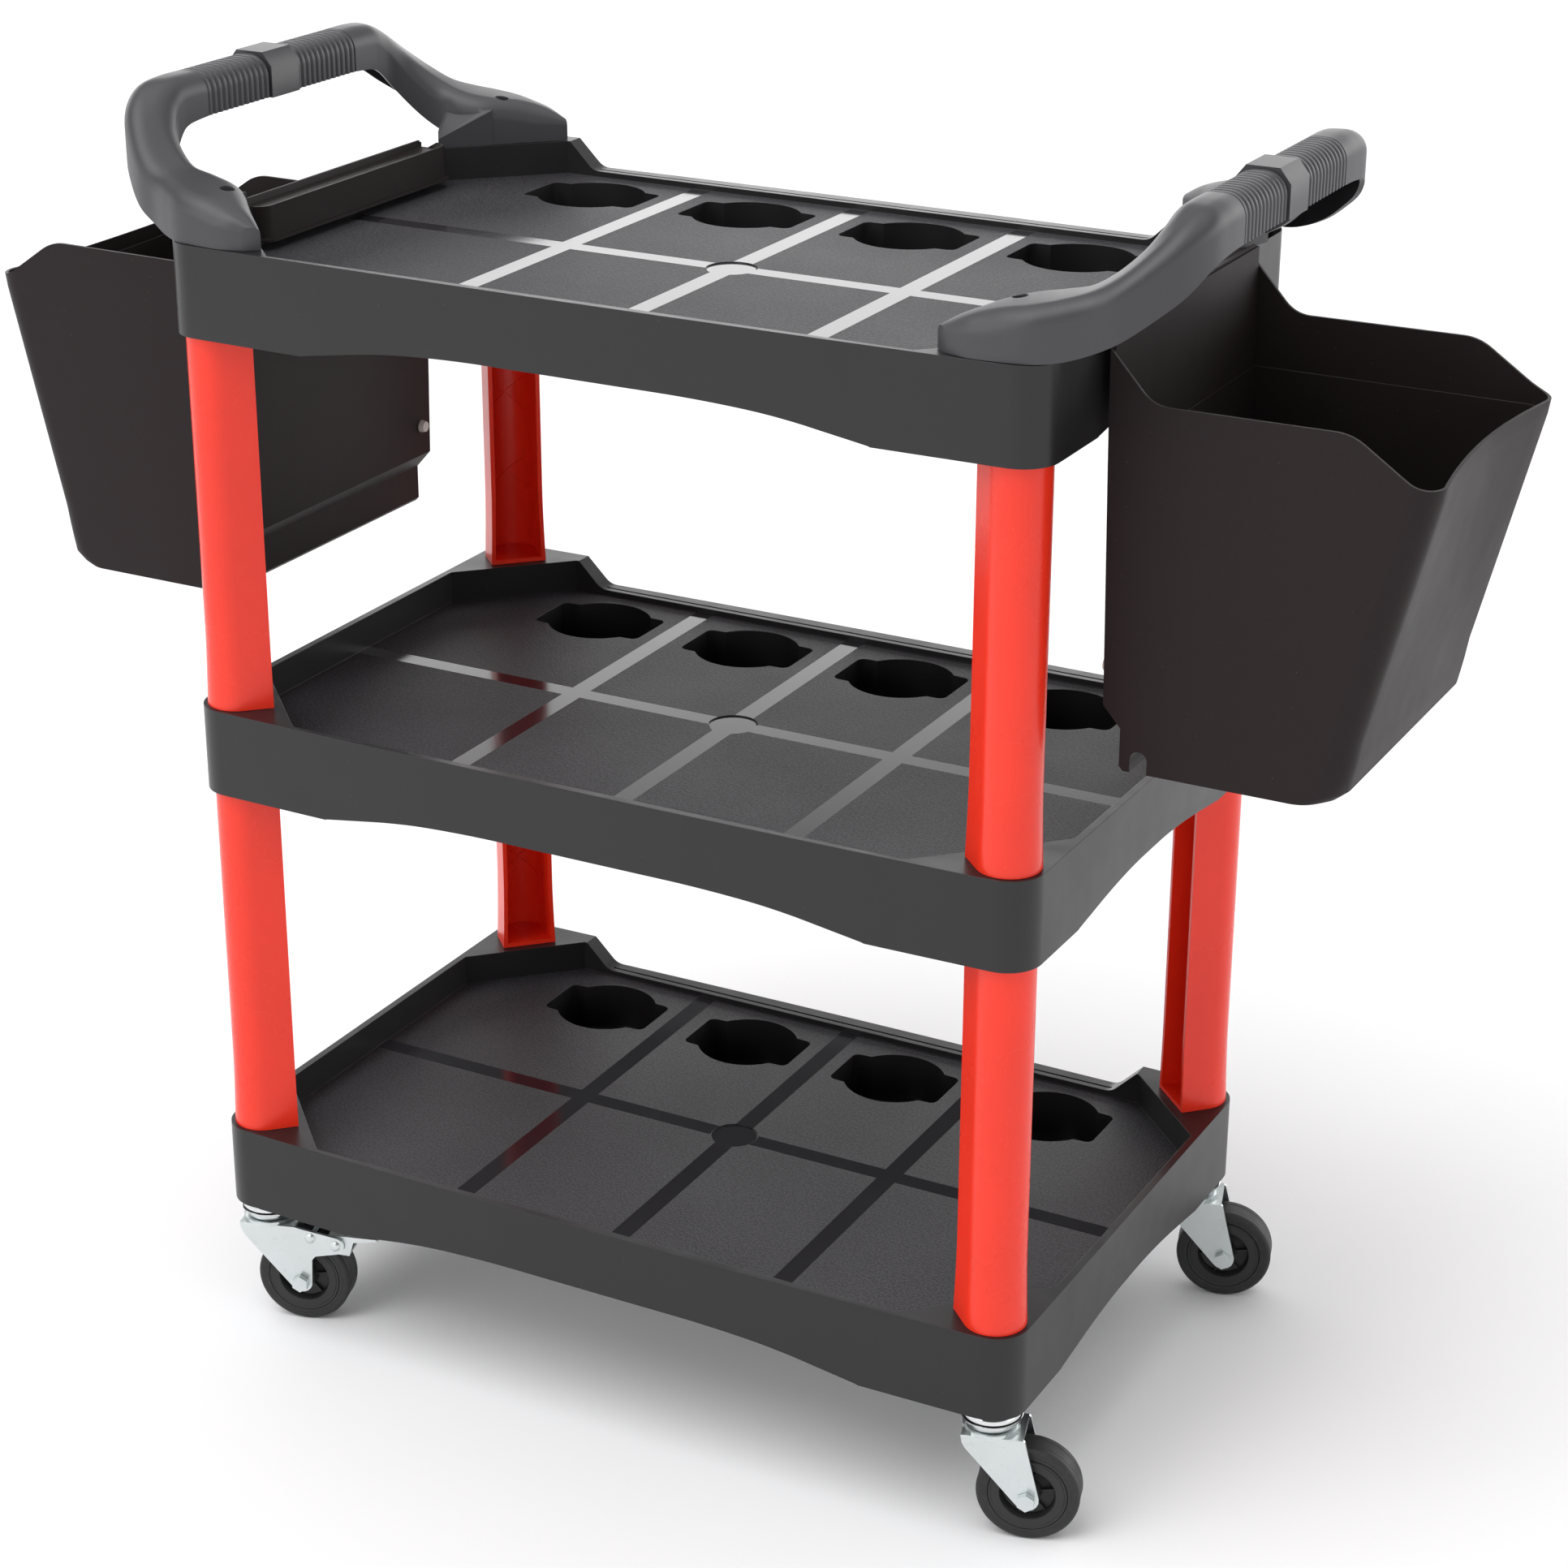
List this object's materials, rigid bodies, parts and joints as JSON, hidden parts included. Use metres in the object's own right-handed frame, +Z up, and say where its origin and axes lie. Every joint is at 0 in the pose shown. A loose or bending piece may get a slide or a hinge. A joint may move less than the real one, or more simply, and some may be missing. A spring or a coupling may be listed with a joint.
{
  "type": "tool cart",
  "caption": "Three-shelf tool cart with bottle pockets, push handles, hanging end bins and swivel casters.",
  "frame": {"origin": "on the ground under the middle of the shelves", "axes": "+X along the long side towards the right-hand bin, +Y towards the bottle-pocket side, +Z up"},
  "size_m": [1.131, 0.4485, 0.9613],
  "materials": {
    "shelf_plastic": "moulded black, fine grain",
    "handle_plastic": "moulded black, satin",
    "bin_plastic": "moulded black, fine grain",
    "hub_plastic": "moulded black",
    "leg_plastic": "smooth red",
    "zinc_plate": "bright zinc plate",
    "chrome": "polished",
    "tyre_rubber": "solid rubber, smooth tread",
    "bumper_plastic": "pale moulded stop"
  },
  "bodies": {
    "cart": {"bottom_shelf": "shelf_plastic", "middle_shelf": "shelf_plastic", "top_shelf": "shelf_plastic", "lower_leg_fl": "leg_plastic", "lower_leg_fr": "leg_plastic", "lower_leg_bl": "leg_plastic", "lower_leg_br": "leg_plastic", "upper_leg_fl": "leg_plastic", "upper_leg_fr": "leg_plastic", "upper_leg_bl": "leg_plastic", "upper_leg_br": "leg_plastic", "handle_left": "handle_plastic", "handle_right": "handle_plastic", "handle_screw_fl": "zinc_plate", "handle_screw_fr": "zinc_plate", "handle_screw_bl": "zinc_plate", "handle_screw_br": "zinc_plate", "race_fl": "chrome", "race_fr": "chrome", "race_bl": "chrome", "race_br": "chrome"},
    "caster_fl": {"fork_fl": "zinc_plate", "axle_bolt_fl": "zinc_plate", "axle_nut_fl": "zinc_plate", "brake_pin_fl": "zinc_plate", "brake_rivet_fl": "zinc_plate"},
    "wheel_fl": {"hub_fl": "hub_plastic", "tyre_fl": "tyre_rubber"},
    "brake_fl": {"brake_pedal_fl": "zinc_plate"},
    "caster_fr": {"fork_fr": "zinc_plate", "axle_bolt_fr": "zinc_plate", "axle_nut_fr": "zinc_plate"},
    "wheel_fr": {"hub_fr": "hub_plastic", "tyre_fr": "tyre_rubber"},
    "caster_bl": {"fork_bl": "zinc_plate", "axle_bolt_bl": "zinc_plate", "axle_nut_bl": "zinc_plate", "brake_pin_bl": "zinc_plate", "brake_rivet_bl": "zinc_plate"},
    "wheel_bl": {"hub_bl": "hub_plastic", "tyre_bl": "tyre_rubber"},
    "brake_bl": {"brake_pedal_bl": "zinc_plate"},
    "caster_br": {"fork_br": "zinc_plate", "axle_bolt_br": "zinc_plate", "axle_nut_br": "zinc_plate"},
    "wheel_br": {"hub_br": "hub_plastic", "tyre_br": "tyre_rubber"},
    "bin_box_left": {"bin_left": "bin_plastic", "bin_bumper_left_front": "bumper_plastic", "bin_bumper_left_back": "bumper_plastic"},
    "bin_box_right": {"bin_right": "bin_plastic", "bin_bumper_right_front": "bumper_plastic", "bin_bumper_right_back": "bumper_plastic"}
  },
  "joints": [
    {"name": "swivel_fl", "type": "hinge", "parent": "cart", "child": "caster_fl", "pos_m": [-0.3127, -0.189, 0.086], "axis": [0, 0, 1], "continuous": true},
    {"name": "roll_fl", "type": "hinge", "parent": "caster_fl", "child": "wheel_fl", "pos_m": [-0.28545, -0.18067, 0.0375], "axis": [-0.2924, 0.9563, 0], "continuous": true},
    {"name": "brake_press_fl", "type": "hinge", "parent": "caster_fl", "child": "brake_fl", "pos_m": [-0.25752, -0.17213, 0.0725], "axis": [-0.2924, 0.9563, 0], "range_deg": [0, 14]},
    {"name": "swivel_fr", "type": "hinge", "parent": "cart", "child": "caster_fr", "pos_m": [0.3127, -0.189, 0.086], "axis": [0, 0, 1], "continuous": true},
    {"name": "roll_fr", "type": "hinge", "parent": "caster_fr", "child": "wheel_fr", "pos_m": [0.33995, -0.18067, 0.0375], "axis": [-0.2924, 0.9563, 0], "continuous": true},
    {"name": "swivel_bl", "type": "hinge", "parent": "cart", "child": "caster_bl", "pos_m": [-0.3127, 0.189, 0.086], "axis": [0, 0, 1], "continuous": true},
    {"name": "roll_bl", "type": "hinge", "parent": "caster_bl", "child": "wheel_bl", "pos_m": [-0.28545, 0.19733, 0.0375], "axis": [-0.2924, 0.9563, 0], "continuous": true},
    {"name": "brake_press_bl", "type": "hinge", "parent": "caster_bl", "child": "brake_bl", "pos_m": [-0.25752, 0.20587, 0.0725], "axis": [-0.2924, 0.9563, 0], "range_deg": [0, 14]},
    {"name": "swivel_br", "type": "hinge", "parent": "cart", "child": "caster_br", "pos_m": [0.3127, 0.189, 0.086], "axis": [0, 0, 1], "continuous": true},
    {"name": "roll_br", "type": "hinge", "parent": "caster_br", "child": "wheel_br", "pos_m": [0.33995, 0.19733, 0.0375], "axis": [-0.2924, 0.9563, 0], "continuous": true},
    {"name": "bin_lift_left", "type": "slide", "parent": "cart", "child": "bin_box_left", "axis": [0, 0, 1], "range_m": [0, 0.04]},
    {"name": "bin_lift_right", "type": "slide", "parent": "cart", "child": "bin_box_right", "axis": [0, 0, 1], "range_m": [0, 0.04]}
  ]
}
